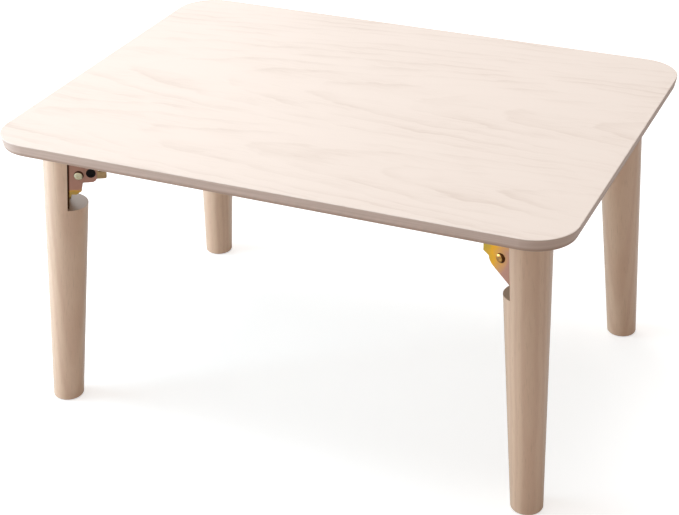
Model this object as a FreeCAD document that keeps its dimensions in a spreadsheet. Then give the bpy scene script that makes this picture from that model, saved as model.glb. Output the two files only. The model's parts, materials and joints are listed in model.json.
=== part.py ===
import FreeCAD
import Part
import math
import os
import Sketcher

# A low table whose four splayed, tapered legs fold under the top on sprung steel brackets.
# The frame: X along the long side, Y towards the back, Z up, origin on the floor under the middle.

V = FreeCAD.Vector
doc = FreeCAD.newDocument("FoldingLowTable")

# Driving sizes in millimetres and degrees
SIZES = (
    ("top_length", 600, "long side of the top"),
    ("top_width", 450, "short side of the top"),
    ("table_height", 320, "floor to the upper face"),
    ("core_thickness", 11.8, "board inside the top"),
    ("veneer_thickness", 0.6, "sheet on each face of the board"),
    ("corner_radius", 43, "rounded corners of the top"),
    ("edge_undercut", 2.6, "how far the edge leans in towards the underside"),
    ("upper_rounding", 0.8, "rounding of the upper edge"),
    ("lower_rounding", 1.8, "rounding of the lower edge"),
    ("leg_inset_side", 55, "leg axis from the short side, at the underside"),
    ("leg_inset_front", 64, "leg axis from the long side, at the underside"),
    ("splay_angle", 3.5, "outward lean of a leg along X and along Y"),
    ("leg_top_radius", 24.6, "leg at the underside"),
    ("leg_foot_radius", 16.3, "leg at the floor"),
    ("foot_rounding", 2.5, "softened edge of a foot"),
    ("fold_turn_wide", 30, "turn of the fold plane, front left and back right"),
    ("fold_turn_narrow", 17, "turn of the fold plane, front right and back left"),
    ("pivot_inset_wide", 10.3, "pivot from the leg axis at the underside, front left and back right"),
    ("pivot_inset_narrow", 12.6, "pivot from the leg axis at the underside, front right and back left"),
    ("pivot_drop", 36.3, "pivot below the underside"),
    ("pivot_to_flat", 11.5, "pivot to the flat cut on the leg"),
    ("notch_below_pivot", 39.7, "pivot to the shoulder of the notch"),
    ("steel", 1.6, "sheet of both brackets"),
    ("bend_radius", 1.5, "outside of the bends of both brackets"),
    ("fork_width", 44, "leg bracket over its two cheeks"),
    ("cheek_gap", 0.3, "running gap between a cheek and an ear"),
    ("seat_gap", 0.5, "gap between the ears and the web when folded"),
    ("fork_top", 13.5, "web above the pivot"),
    ("shoulder_gap", 1.5, "web to the shoulder of the notch"),
    ("round_cheek_radius", 13.5, "round cheek about the pivot"),
    ("round_cheek_tip", 28, "tip of the round cheek below the pivot"),
    ("flank_x_share", 0.677, "where the slope meets the round, across"),
    ("flank_z_share", 0.736, "where the slope meets the round, down"),
    ("straight_cheek_reach", 5, "straight cheek inward of the pivot"),
    ("straight_cheek_toe", 3, "lower end of its slope, inward"),
    ("straight_cheek_heel", 2.5, "lower edge ends this far outward"),
    ("straight_cheek_cut", 17.8, "start of the cut corner below the pivot"),
    ("straight_cheek_end", 21.8, "lower edge below the pivot"),
    ("ear_back", 6.5, "ears outward of the pivot"),
    ("ear_cut_height_share", 0.67, "start of the cut corner of an ear, of its drop below the pivot"),
    ("ear_cut_reach_share", 0.33, "end of that corner, of the ear's reach outward"),
    ("plain_ear_reach", 21, "plain ear inward of the pivot"),
    ("plain_ear_foot", 3, "lower edge of the plain ear, inward"),
    ("plain_ear_rise", 0.6, "top of its cut corner above the pivot"),
    ("lever_ear_reach", 18.3, "lever ear inward of the pivot"),
    ("lever_ear_round", 6, "lower inner corner of the lever ear"),
    ("base_reach", 48, "base plate inward of the pivot"),
    ("base_corner", 4, "rounded corners of the base plate"),
    ("rivet_shank_radius", 3, "pivot rivet"),
    ("rivet_head_radius", 5, "outer head"),
    ("rivet_head_height", 2, "outer head"),
    ("rivet_head_edge", 1.1, "bevel of the outer head"),
    ("rivet_tail_radius", 4.3, "inner closed head"),
    ("rivet_tail_height", 1.1, "inner closed head"),
    ("rivet_fit", 0.03, "radial gap of the rivet in an ear"),
    ("rivet_run", 0.06, "radial gap of the rivet in a cheek"),
    ("lever_pin_x", 12.3, "lever pivot inward of the leg pivot"),
    ("lever_pin_z", 0.7, "lever pivot above the leg pivot"),
    ("lever_sheet", 2, "sheet of the lever"),
    ("lever_gap", 0.3, "lever to the ear beside it"),
    ("lever_hub_radius", 7.4, "round of the lever about its pivot"),
    ("tab_reach", 28, "end of the finger tab, inward of the pivot"),
    ("tab_low", 6.8, "lower edge of the tab below the pivot"),
    ("tab_height", 8, "tab"),
    ("arm_low", 5.6, "lower edge of the lever arm above the pivot"),
    ("shelf_top", 10, "upper face of the bent shelf above the pivot"),
    ("nose_gap", 1.2, "nose of the shelf to the web, level with the pivot"),
    ("shelf_reach", 5.5, "shelf inward of the pivot"),
    ("shelf_width", 12, "shelf across the bracket"),
    ("window_margin", 0.7, "window larger than the nose all round"),
    ("bush_radius", 4.95, "black bush in the lever ear"),
    ("bush_fit", 0.03, "radial gap of the bush in the ear"),
    ("bush_shank_radius", 3.4, "part that the lever turns on"),
    ("bush_run", 0.08, "radial gap of the lever on the bush"),
    ("bush_tail_radius", 5, "inner flange of the bush"),
    ("bush_tail_height", 1.2, "inner flange of the bush"),
    ("bush_end_gap", 0.15, "side play of the lever"),
    ("bush_dish_radius", 3.3, "hollow in the outer face"),
    ("bush_dish_depth", 0.7, "hollow in the outer face"),
    ("spring_radius", 3.2, "middle of the spring wire from its axis"),
    ("spring_wire", 0.55, "radius of the spring wire"),
    ("spring_turns", 6, "turns of the spring"),
    ("spring_points", 48, "points on each turn when its gap to itself is measured"),
    ("spring_seat", 0.05, "spring to the plates at its two ends"),
    ("screw_shank_radius", 1.75, "wood screws"),
    ("screw_head_radius", 3.9, "pan head"),
    ("screw_head_height", 1.9, "pan head"),
    ("screw_head_edge", 0.8, "rounding of the pan head"),
    ("screw_point", 2, "pointed end"),
    ("screw_hole_gap", 0.1, "radial gap of a screw in its bracket"),
    ("screw_bore_gap", 0.02, "radial gap of a screw in the wood"),
    ("recess_length", 4.6, "cross recess"),
    ("recess_width", 1, "cross recess"),
    ("recess_depth", 1, "cross recess"),
    ("top_screw_length", 10, "screws up into the board"),
    ("leg_screw_length", 16, "screws into the leg"),
    ("leg_screw_drop", 28, "leg screws below the pivot"),
    ("leg_screw_spacing", 20, "between the two leg screws"),
    ("top_screw_first", 28, "first pair of top screws, inward of the pivot"),
    ("top_screw_pitch", 13, "between the pairs of top screws"),
    ("top_screw_spacing", 24, "between the screws of a pair"),
    ("overrun", 40, "how far a cutting tool runs past what it cuts"),
    ("hair", 0.016, "least length that counts when a face or an edge is picked out"),
)

sheet = doc.addObject("Spreadsheet::Sheet", "Sizes")
for row, (alias, value, meaning) in enumerate(SIZES, start=1):
    sheet.set(f"A{row}", alias)
    sheet.set(f"B{row}", str(value))
    sheet.set(f"C{row}", meaning)
    sheet.setAlias(f"B{row}", alias)
doc.recompute()


def size(alias):
    return float(getattr(sheet, alias))


hair = size("hair")


# Corners: name, side along X, side along Y, and which fold turn and pivot inset it has
CORNERS = (
    ("front_left", -1, -1, "wide"),
    ("front_right", 1, -1, "narrow"),
    ("back_right", 1, 1, "wide"),
    ("back_left", -1, 1, "narrow"),
)


# Sketches and features
def plane(body, role):
    return next(f for f in body.Origin.OriginFeatures if f.Role == role)


def new_sketch(body, name, role, offset=None):
    sketch = body.newObject("Sketcher::SketchObject", name)
    sketch.AttachmentSupport = (plane(body, role), "")
    sketch.MapMode = "FlatFace"
    if offset:
        sketch.setExpression("AttachmentOffset.Base.z", offset)
    return sketch


def place_point(sketch, shape, vertex, across, along):
    """Ties one point of a sketch to the origin by two bound distances."""
    for kind, value in (("DistanceX", across), ("DistanceY", along)):
        start = 0.0 if value == "0" else 1.0
        index = sketch.addConstraint(Sketcher.Constraint(kind, -1, 1, shape, vertex, start))
        if value != "0":
            sketch.setExpression(f"Constraints[{index}]", value)


def outline(sketch, corners):
    """Adds a closed outline of straight edges, each corner given by two expressions."""
    count = len(corners)
    first = sketch.GeometryCount
    for i in range(count):
        a = math.tau * i / count
        b = math.tau * (i + 1) / count
        start = V(math.cos(a), math.sin(a), 0)
        end = V(math.cos(b), math.sin(b), 0)
        sketch.addGeometry(Part.LineSegment(start, end))
    for i in range(count):
        follower = first + (i + 1) % count
        sketch.addConstraint(Sketcher.Constraint("Coincident", first + i, 2, follower, 1))
    for i, (across, along) in enumerate(corners):
        place_point(sketch, first + i, 1, across, along)
    return sketch


def rectangle(sketch, left, right, low, high):
    return outline(sketch, ((left, low), (right, low), (right, high), (left, high)))


def disc(sketch, across, along, radius):
    index = sketch.addGeometry(Part.Circle(V(0, 0, 0), V(0, 0, 1), 1))
    place_point(sketch, index, 3, across, along)
    tie = sketch.addConstraint(Sketcher.Constraint("Radius", index, 1.0))
    sketch.setExpression(f"Constraints[{tie}]", radius)
    return sketch


def pad(body, sketch, length, one_side=False, reverse=False):
    feature = body.newObject("PartDesign::Pad", sketch.Name + "_pad")
    feature.Profile = sketch
    feature.SideType = "One side" if one_side else "Symmetric"
    feature.Reversed = reverse
    feature.setExpression("Length", length)
    return feature


def pocket(body, sketch, length):
    feature = body.newObject("PartDesign::Pocket", sketch.Name + "_cut")
    feature.Profile = sketch
    feature.SideType = "Symmetric"
    feature.setExpression("Length", length)
    return feature


def revolve(body, sketch):
    feature = body.newObject("PartDesign::Revolution", sketch.Name + "_turned")
    feature.Profile = sketch
    feature.ReferenceAxis = (sketch, ["V_Axis"])
    feature.Angle = 360
    return feature


def soften(body, base, kind, amount, wanted):
    """Rounds or bevels the edges of a feature that the test picks out."""
    doc.recompute()
    names = [f"Edge{i}" for i, e in enumerate(base.Shape.Edges, start=1) if wanted(e)]
    feature = body.newObject(f"PartDesign::{kind}", f"{base.Name}_{kind.lower()}")
    feature.Base = (base, names)
    feature.setExpression("Radius" if kind == "Fillet" else "Size", amount)
    return feature


def new_body(label):
    body = doc.addObject("PartDesign::Body", label)
    body.Label = label
    return body


def along_z(edge):
    """True for a straight edge that rises up through the piece."""
    return edge.BoundBox.ZLength > edge.Length - hair


def group(label, members):
    compound = doc.addObject("Part::Compound", label)
    compound.Label = label
    compound.Links = members
    return compound


# The whole top as one blank, its edge leaning in towards the underside
TOP_THICKNESS = "(Sizes.core_thickness + 2 * Sizes.veneer_thickness)"
UNDERSIDE = f"(Sizes.table_height - {TOP_THICKNESS})"

top_blank = new_body("top_blank")
top_sketch = new_sketch(top_blank, "top_outline", "XY_Plane", "Sizes.table_height")
half_length = "Sizes.top_length / 2"
half_width = "Sizes.top_width / 2"
rectangle(top_sketch, f"-{half_length}", half_length, f"-{half_width}", half_width)
top_pad = pad(top_blank, top_sketch, TOP_THICKNESS, one_side=True, reverse=True)
rounded_top = soften(top_blank, top_pad, "Fillet", "Sizes.corner_radius", along_z)
doc.recompute()

table_height = size("table_height")
underside = table_height - size("core_thickness") - 2 * size("veneer_thickness")
faces = rounded_top.Shape.Faces
sides = [f"Face{i}" for i, f in enumerate(faces, start=1) if f.BoundBox.ZLength > hair]
upper = [f"Face{i}" for i, f in enumerate(faces, start=1) if f.BoundBox.ZMin > table_height - hair]
leaning_edge = top_blank.newObject("PartDesign::Draft", "top_leaning_edge")
leaning_edge.Base = (rounded_top, sides)
leaning_edge.NeutralPlane = (rounded_top, upper)
leaning_edge.Reversed = True
leaning_edge.setExpression("Angle", f"atan(Sizes.edge_undercut / {TOP_THICKNESS})")
lower_round = soften(top_blank, leaning_edge, "Fillet", "Sizes.lower_rounding",
                     lambda edge: edge.BoundBox.ZMax < underside + hair)
soften(top_blank, lower_round, "Fillet", "Sizes.upper_rounding",
       lambda edge: edge.BoundBox.ZMin > table_height - hair)

splay = math.tan(math.radians(size("splay_angle")))


# Corner frames: local X points the way the leg folds, local Z up, origin on the leg axis
def corner_frame(side_x, side_y, pair):
    angle = math.radians(size("fold_turn_" + pair))
    heading = math.degrees(math.atan2(-side_y * math.sin(angle), -side_x * math.cos(angle)))
    x = side_x * (size("top_length") / 2 - size("leg_inset_side"))
    y = side_y * (size("top_width") / 2 - size("leg_inset_front"))
    return FreeCAD.Placement(V(x, y, underside), FreeCAD.Rotation(V(0, 0, 1), heading))


def pivot_frame(frame, pair):
    offset = V(size("pivot_inset_" + pair), 0, -size("pivot_drop"))
    return frame * FreeCAD.Placement(offset, FreeCAD.Rotation())


def leg_lean(frame, side_x, side_y):
    """Lean of the leg along and across the fold plane, as slopes."""
    inverse = frame.Rotation.inverted()
    lean = inverse.multVec(V(side_x * splay, side_y * splay, 0))
    return lean.x, lean.y


def fork_frame(pivot, slope):
    """Frame of the leg bracket: at the pivot, with its Z along the leg's flat."""
    tilt = FreeCAD.Rotation(V(0, 1, 0), math.degrees(math.atan(-slope)))
    return pivot * FreeCAD.Placement(V(0, 0, 0), tilt)


# Wood screws: a pan head below the origin plane, the shank above it
def screw(name, length, frame):
    body = new_body(name)
    profile = new_sketch(body, name + "_profile", "XZ_Plane")
    neck = "Sizes.screw_head_radius - Sizes.screw_head_edge"
    outline(profile, (
        ("0", "-Sizes.screw_head_height"),
        (neck, "-Sizes.screw_head_height"),
        ("Sizes.screw_head_radius", "-Sizes.screw_head_height + Sizes.screw_head_edge"),
        ("Sizes.screw_head_radius", "0"),
        ("Sizes.screw_shank_radius", "0"),
        ("Sizes.screw_shank_radius", f"{length} - Sizes.screw_point"),
        ("0", length),
    ))
    revolve(body, profile)
    cross = new_sketch(body, name + "_cross", "XY_Plane", "-Sizes.screw_head_height")
    long_half = "Sizes.recess_length / 2"
    short_half = "Sizes.recess_width / 2"
    outline(cross, (
        (f"-{long_half}", f"-{short_half}"), (f"-{short_half}", f"-{short_half}"),
        (f"-{short_half}", f"-{long_half}"), (short_half, f"-{long_half}"),
        (short_half, f"-{short_half}"), (long_half, f"-{short_half}"),
        (long_half, short_half), (short_half, short_half),
        (short_half, long_half), (f"-{short_half}", long_half),
        (f"-{short_half}", short_half), (f"-{long_half}", short_half),
    ))
    pocket(body, cross, "2 * Sizes.recess_depth")
    body.Placement = frame
    return body


def top_screw_places():
    """Places of the four top screws in the pivot frame, on the lower face of the base plate."""
    first = size("top_screw_first")
    half = size("top_screw_spacing") / 2
    level = size("pivot_drop") - size("steel")
    for x in (first, first + size("top_screw_pitch")):
        for y in (-half, half):
            yield V(x, y, level)


def leg_screw_places():
    """Places of the two leg screws in the fork frame, on the inner face of the web."""
    half = size("leg_screw_spacing") / 2
    for y in (-half, half):
        yield V(size("steel") - size("pivot_to_flat"), y, -size("leg_screw_drop"))


INTO_LEG = FreeCAD.Rotation(V(0, 1, 0), -90)
EAR_PLANE = "(Sizes.fork_width / 2 - Sizes.steel * 3 / 2 - Sizes.cheek_gap)"
CHEEK_PLANE = "(Sizes.fork_width / 2 - Sizes.steel / 2)"
WEB_FACE = "(Sizes.pivot_to_flat - Sizes.steel)"
EAR_DROP = f"({WEB_FACE} - Sizes.seat_gap)"
EAR_FACE = f"({EAR_PLANE} + Sizes.steel / 2)"
LEVER_PLANE = f"({EAR_PLANE} - Sizes.steel / 2 - Sizes.lever_gap - Sizes.lever_sheet / 2)"
ear_face = size("fork_width") / 2 - size("steel") - size("cheek_gap")
lever_outside = ear_face - size("steel") - size("lever_gap")


# The bracket under the top: a base plate with two ears, one plain and one that holds the lever
def table_bracket(label, pivot):
    body = new_body(label)
    base = new_sketch(body, label + "_base", "XY_Plane", "Sizes.pivot_drop - Sizes.steel / 2")
    rectangle(base, "-Sizes.ear_back", "Sizes.base_reach", f"-{EAR_FACE}", EAR_FACE)
    plate = pad(body, base, "Sizes.steel")

    def free_corner(edge):
        return along_z(edge) and edge.Vertexes[0].Point.x > size("plain_ear_reach")

    soften(body, plate, "Fillet", "Sizes.base_corner", free_corner)

    # A sketch on the XZ plane looks along Y, so the lever ear, on the -Y side, has a positive offset
    lever_ear = new_sketch(body, label + "_lever_ear", "XZ_Plane", EAR_PLANE)
    outline(lever_ear, (
        ("-Sizes.ear_back", "Sizes.pivot_drop"),
        ("-Sizes.ear_back", f"-{EAR_DROP} * Sizes.ear_cut_height_share"),
        ("-Sizes.ear_back * Sizes.ear_cut_reach_share", f"-{EAR_DROP}"),
        ("Sizes.lever_ear_reach", f"-{EAR_DROP}"),
        ("Sizes.lever_ear_reach", "Sizes.pivot_drop"),
    ))
    ear = pad(body, lever_ear, "Sizes.steel")

    def lower_inner_corner(edge):
        place = edge.CenterOfMass
        inner = place.x > size("lever_ear_reach") - hair and place.z < 0
        return inner and edge.BoundBox.YLength > edge.Length - hair

    soften(body, ear, "Fillet", "Sizes.lever_ear_round", lower_inner_corner)

    plain_ear = new_sketch(body, label + "_plain_ear", "XZ_Plane", f"-{EAR_PLANE}")
    outline(plain_ear, (
        ("-Sizes.ear_back", "Sizes.pivot_drop"),
        ("-Sizes.ear_back", f"-{EAR_DROP} * Sizes.ear_cut_height_share"),
        ("-Sizes.ear_back * Sizes.ear_cut_reach_share", f"-{EAR_DROP}"),
        ("Sizes.plain_ear_foot", f"-{EAR_DROP}"),
        ("Sizes.plain_ear_reach", "Sizes.plain_ear_rise"),
        ("Sizes.plain_ear_reach", "Sizes.pivot_drop"),
    ))
    pad(body, plain_ear, "Sizes.steel")

    rivet_hole = new_sketch(body, label + "_rivet_hole", "XZ_Plane")
    disc(rivet_hole, "0", "0", "Sizes.rivet_shank_radius + Sizes.rivet_fit")
    pocket(body, rivet_hole, "2 * Sizes.fork_width")

    bush_hole = new_sketch(body, label + "_bush_hole", "XZ_Plane", EAR_PLANE)
    disc(bush_hole, "Sizes.lever_pin_x", "Sizes.lever_pin_z", "Sizes.bush_radius + Sizes.bush_fit")
    pocket(body, bush_hole, "2 * Sizes.steel")

    screw_holes = new_sketch(body, label + "_screw_holes", "XY_Plane", "Sizes.pivot_drop")
    for x in ("Sizes.top_screw_first", "Sizes.top_screw_first + Sizes.top_screw_pitch"):
        for y in ("-Sizes.top_screw_spacing / 2", "Sizes.top_screw_spacing / 2"):
            disc(screw_holes, x, y, "Sizes.screw_shank_radius + Sizes.screw_hole_gap")
    pierced = pocket(body, screw_holes, "4 * Sizes.steel")

    def bend(edge):
        high = edge.BoundBox.ZMin > size("pivot_drop") - hair
        return high and min(abs(v.Point.y) for v in edge.Vertexes) > ear_face - hair

    soften(body, pierced, "Fillet", "Sizes.bend_radius", bend)
    body.Placement = pivot
    return body


# The bracket on the leg: a web on the flat with two cheeks outside the ears
def leg_bracket(label, fork):
    body = new_body(label)
    low = "-(Sizes.notch_below_pivot - Sizes.shoulder_gap)"
    half = "Sizes.fork_width / 2"
    web = new_sketch(body, label + "_web", "YZ_Plane", "-Sizes.pivot_to_flat + Sizes.steel / 2")
    rectangle(web, f"-{half}", half, low, "Sizes.fork_top")
    pad(body, web, "Sizes.steel")

    straight = new_sketch(body, label + "_straight_cheek", "XZ_Plane", CHEEK_PLANE)
    outline(straight, (
        ("-Sizes.pivot_to_flat", "-Sizes.straight_cheek_end"),
        ("-Sizes.straight_cheek_heel", "-Sizes.straight_cheek_end"),
        ("Sizes.straight_cheek_toe", "-Sizes.straight_cheek_cut"),
        ("Sizes.straight_cheek_reach", "-Sizes.rivet_shank_radius"),
        ("Sizes.straight_cheek_reach", "Sizes.fork_top"),
        ("-Sizes.pivot_to_flat", "Sizes.fork_top"),
    ))
    pad(body, straight, "Sizes.steel")

    slope = new_sketch(body, label + "_round_cheek_slope", "XZ_Plane", f"-{CHEEK_PLANE}")
    flank_x = "Sizes.round_cheek_radius * Sizes.flank_x_share"
    flank_z = "-Sizes.round_cheek_radius * Sizes.flank_z_share"
    outline(slope, (
        ("-Sizes.pivot_to_flat", "-Sizes.round_cheek_tip"),
        (flank_x, flank_z),
        ("0", "Sizes.round_cheek_radius"),
        ("-Sizes.pivot_to_flat", "Sizes.round_cheek_radius"),
    ))
    pad(body, slope, "Sizes.steel")
    round_part = new_sketch(body, label + "_round_cheek", "XZ_Plane", f"-{CHEEK_PLANE}")
    disc(round_part, "0", "0", "Sizes.round_cheek_radius")
    pad(body, round_part, "Sizes.steel")
    behind = new_sketch(body, label + "_behind_web", "XZ_Plane")
    back = "-Sizes.pivot_to_flat"
    reach = "Sizes.round_cheek_radius"
    rectangle(behind, f"{back} - {reach}", back, f"-{reach}", reach)
    pocket(body, behind, "2 * Sizes.fork_width")

    rivet_hole = new_sketch(body, label + "_rivet_hole", "XZ_Plane")
    disc(rivet_hole, "0", "0", "Sizes.rivet_shank_radius + Sizes.rivet_run")
    pocket(body, rivet_hole, "2 * Sizes.fork_width")

    openings = new_sketch(body, label + "_web_holes", "YZ_Plane", "-Sizes.pivot_to_flat")
    left = f"-({LEVER_PLANE} + Sizes.lever_sheet / 2 + Sizes.window_margin)"
    right = f"-({LEVER_PLANE} + Sizes.lever_sheet / 2 - Sizes.shelf_width - Sizes.window_margin)"
    under = "Sizes.shelf_top - Sizes.lever_sheet - Sizes.window_margin"
    rectangle(openings, left, right, under, "Sizes.shelf_top + Sizes.window_margin")
    for y in ("-Sizes.leg_screw_spacing / 2", "Sizes.leg_screw_spacing / 2"):
        disc(openings, y, "-Sizes.leg_screw_drop", "Sizes.screw_shank_radius + Sizes.screw_hole_gap")
    pierced = pocket(body, openings, "4 * Sizes.steel")

    def bend(edge):
        box = edge.BoundBox
        at_back = box.XMax < hair - size("pivot_to_flat")
        at_side = min(abs(box.YMin), abs(box.YMax)) > size("fork_width") / 2 - hair
        return at_back and at_side and box.ZLength > size("steel")

    soften(body, pierced, "Fillet", "Sizes.bend_radius", bend)
    body.Placement = fork
    return body


# A short rivet through one cheek and one ear; its axis is Y and its outer head faces -Y
def rivet(name, frame):
    body = new_body(name)
    profile = new_sketch(body, name + "_profile", "XY_Plane")
    cheek = "-Sizes.fork_width / 2"
    ear_inside = f"-({EAR_PLANE} - Sizes.steel / 2)"
    head = f"{cheek} - Sizes.rivet_head_height"
    outline(profile, (
        ("0", head),
        ("Sizes.rivet_head_radius - Sizes.rivet_head_edge", head),
        ("Sizes.rivet_head_radius", f"{head} + Sizes.rivet_head_edge"),
        ("Sizes.rivet_head_radius", cheek),
        ("Sizes.rivet_shank_radius", cheek),
        ("Sizes.rivet_shank_radius", ear_inside),
        ("Sizes.rivet_tail_radius", ear_inside),
        ("Sizes.rivet_tail_radius", f"{ear_inside} + Sizes.rivet_tail_height"),
        ("0", f"{ear_inside} + Sizes.rivet_tail_height"),
    ))
    revolve(body, profile)
    body.Placement = frame
    return body


# The lever: an upright plate with a finger tab, and a shelf bent towards the middle
def lock_lever(label, pivot):
    body = new_body(label)
    sheet_plane = LEVER_PLANE
    nose = f"-({WEB_FACE} - Sizes.nose_gap)"
    hub = new_sketch(body, label + "_hub", "XZ_Plane", sheet_plane)
    disc(hub, "Sizes.lever_pin_x", "Sizes.lever_pin_z", "Sizes.lever_hub_radius")
    pad(body, hub, "Sizes.lever_sheet")
    arm = new_sketch(body, label + "_arm", "XZ_Plane", sheet_plane)
    rectangle(arm, nose, "Sizes.lever_pin_x", "Sizes.arm_low", "Sizes.shelf_top")
    pad(body, arm, "Sizes.lever_sheet")
    tab = new_sketch(body, label + "_tab", "XZ_Plane", sheet_plane)
    tab_top = "Sizes.tab_height - Sizes.tab_low"
    rectangle(tab, "Sizes.lever_pin_x", "Sizes.tab_reach", "-Sizes.tab_low", tab_top)
    tab_pad = pad(body, tab, "Sizes.lever_sheet")

    def tab_corner(edge):
        at_end = edge.CenterOfMass.x > size("tab_reach") - hair
        return at_end and edge.BoundBox.YLength > edge.Length - hair

    soften(body, tab_pad, "Fillet", "Sizes.lever_sheet", tab_corner)
    shelf = new_sketch(body, label + "_shelf", "XY_Plane", "Sizes.shelf_top - Sizes.lever_sheet / 2")
    outer = f"-({sheet_plane} + Sizes.lever_sheet / 2)"
    rectangle(shelf, nose, "Sizes.shelf_reach", outer, f"{outer} + Sizes.shelf_width")
    pad(body, shelf, "Sizes.lever_sheet")
    bore = new_sketch(body, label + "_bore", "XZ_Plane", sheet_plane)
    disc(bore, "Sizes.lever_pin_x", "Sizes.lever_pin_z", "Sizes.bush_shank_radius + Sizes.bush_run")
    bored = pocket(body, bore, "2 * Sizes.lever_sheet")

    def bend(edge):
        box = edge.BoundBox
        high = box.ZMin > size("shelf_top") - hair
        return high and box.YMax < hair - lever_outside and box.XLength > size("steel")

    soften(body, bored, "Fillet", "Sizes.bend_radius", bend)
    body.Placement = pivot
    return body


# The black bush: it sits in the lever ear and the lever turns on its shank
def lever_bush(label, pivot):
    body = new_body(label)
    profile = new_sketch(body, label + "_profile", "XY_Plane")
    face = f"-{EAR_FACE}"
    ear_inside = f"-({EAR_PLANE} - Sizes.steel / 2)"
    lever_inside = f"-({LEVER_PLANE} - Sizes.lever_sheet / 2 - Sizes.bush_end_gap)"
    outline(profile, (
        ("0", f"{face} + Sizes.bush_dish_depth"),
        ("Sizes.bush_dish_radius", f"{face} + Sizes.bush_dish_depth"),
        ("Sizes.bush_dish_radius", face),
        ("Sizes.bush_radius", face),
        ("Sizes.bush_radius", ear_inside),
        ("Sizes.bush_shank_radius", ear_inside),
        ("Sizes.bush_shank_radius", lever_inside),
        ("Sizes.bush_tail_radius", lever_inside),
        ("Sizes.bush_tail_radius", f"{lever_inside} + Sizes.bush_tail_height"),
        ("0", f"{lever_inside} + Sizes.bush_tail_height"),
    ))
    revolve(body, profile)
    offset = V(size("lever_pin_x"), 0, size("lever_pin_z"))
    body.Placement = pivot * FreeCAD.Placement(offset, FreeCAD.Rotation())
    return body


def least_gap(centre_line, radius):
    """Least clear space between the turns of a coil, measured on points of its middle line."""
    per_turn = int(size("spring_points"))
    points = centre_line.discretize(Number=int(size("spring_turns")) * per_turn + 1)
    pairs = ((p, q) for i, p in enumerate(points) for q in points[i + per_turn // 2:])
    return min(p.distanceToPoint(q) for p, q in pairs) - 2 * radius


# The coil spring between the shelf of the lever and the base plate
def lever_spring(label, pivot):
    wire = size("spring_wire")
    low = size("shelf_top") + size("spring_seat") + wire
    high = size("pivot_drop") - size("steel") - size("spring_seat") - wire
    coil = Part.makeHelix((high - low) / size("spring_turns"), high - low, size("spring_radius"))
    start = V(size("spring_radius"), 0, 0)
    section = Part.Wire(Part.Circle(start, V(0, 1, 0), wire).toShape())
    spring = doc.addObject("Part::Feature", label)
    spring.Label = label
    spring.Shape = Part.Wire(coil.Edges).makePipeShell([section], True, True)
    print(f"{label}: least gap between its turns {least_gap(coil, wire):.2f} mm")
    shelf_middle = size("shelf_width") / 2 - lever_outside
    middle = (size("shelf_reach") - size("pivot_to_flat") + size("steel")) / 2
    spring.Placement = pivot * FreeCAD.Placement(V(middle, shelf_middle, low), FreeCAD.Rotation())
    return spring


# A leg: a leaning cone between the floor and the underside, with a notch and two screw bores
def leg(label, frame, fork, along, across):
    cone = doc.addObject("Part::Cone", label + "_cone")
    stretch = math.sqrt(1 + along * along + across * across)
    length = underside * stretch
    extra = size("overrun")
    growth = (size("leg_top_radius") - size("leg_foot_radius")) / length * extra
    cone.Radius1 = size("leg_foot_radius") - growth
    cone.Radius2 = size("leg_top_radius") + growth
    cone.Height = length + 2 * extra
    foot_to_top = V(-along, -across, 1)
    turn = FreeCAD.Rotation(V(0, 0, 1), foot_to_top)
    foot = V(along * underside, across * underside, -underside) - foot_to_top * (extra / stretch)
    cone.Placement = frame * FreeCAD.Placement(foot, turn)

    height = doc.addObject("Part::Box", label + "_height")
    for name in ("Length", "Width"):
        height.setExpression(name, "Sizes.top_length")
    height.setExpression("Height", UNDERSIDE)
    middle = frame.Base - V(size("top_length") / 2, size("top_length") / 2, underside)
    height.Placement.Base = middle
    trimmed = doc.addObject("Part::Common", label + "_trimmed")
    trimmed.Base = cone
    trimmed.Tool = height

    notch = doc.addObject("Part::Box", label + "_notch")
    notch.setExpression("Length", "Sizes.overrun + Sizes.pivot_to_flat")
    notch.setExpression("Width", "2 * Sizes.overrun")
    notch.setExpression("Height", "Sizes.notch_below_pivot + Sizes.pivot_drop + Sizes.overrun")
    corner = V(-size("pivot_to_flat"), -size("overrun"), -size("notch_below_pivot"))
    notch.Placement = fork * FreeCAD.Placement(corner, FreeCAD.Rotation())

    tools = [notch]
    for i, place in enumerate(leg_screw_places()):
        bore = doc.addObject("Part::Cylinder", f"{label}_bore_{i}")
        bore.setExpression("Radius", "Sizes.screw_shank_radius + Sizes.screw_bore_gap")
        bore.setExpression("Height", "Sizes.leg_screw_length + Sizes.screw_bore_gap")
        bore.Placement = fork * FreeCAD.Placement(place, INTO_LEG)
        tools.append(bore)
    cutters = doc.addObject("Part::MultiFuse", label + "_cutters")
    cutters.Shapes = tools
    carved = doc.addObject("Part::Cut", label + "_carved")
    carved.Base = trimmed
    carved.Tool = cutters
    doc.recompute()

    rounded = doc.addObject("Part::Fillet", label)
    rounded.Label = label
    rounded.Base = carved
    radius = size("foot_rounding")
    sole = [i for i, e in enumerate(carved.Shape.Edges, start=1)
            if e.BoundBox.ZMax < radius and e.BoundBox.ZMin < radius]
    rounded.Edges = [(i, radius, radius) for i in sole]
    return rounded


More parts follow.
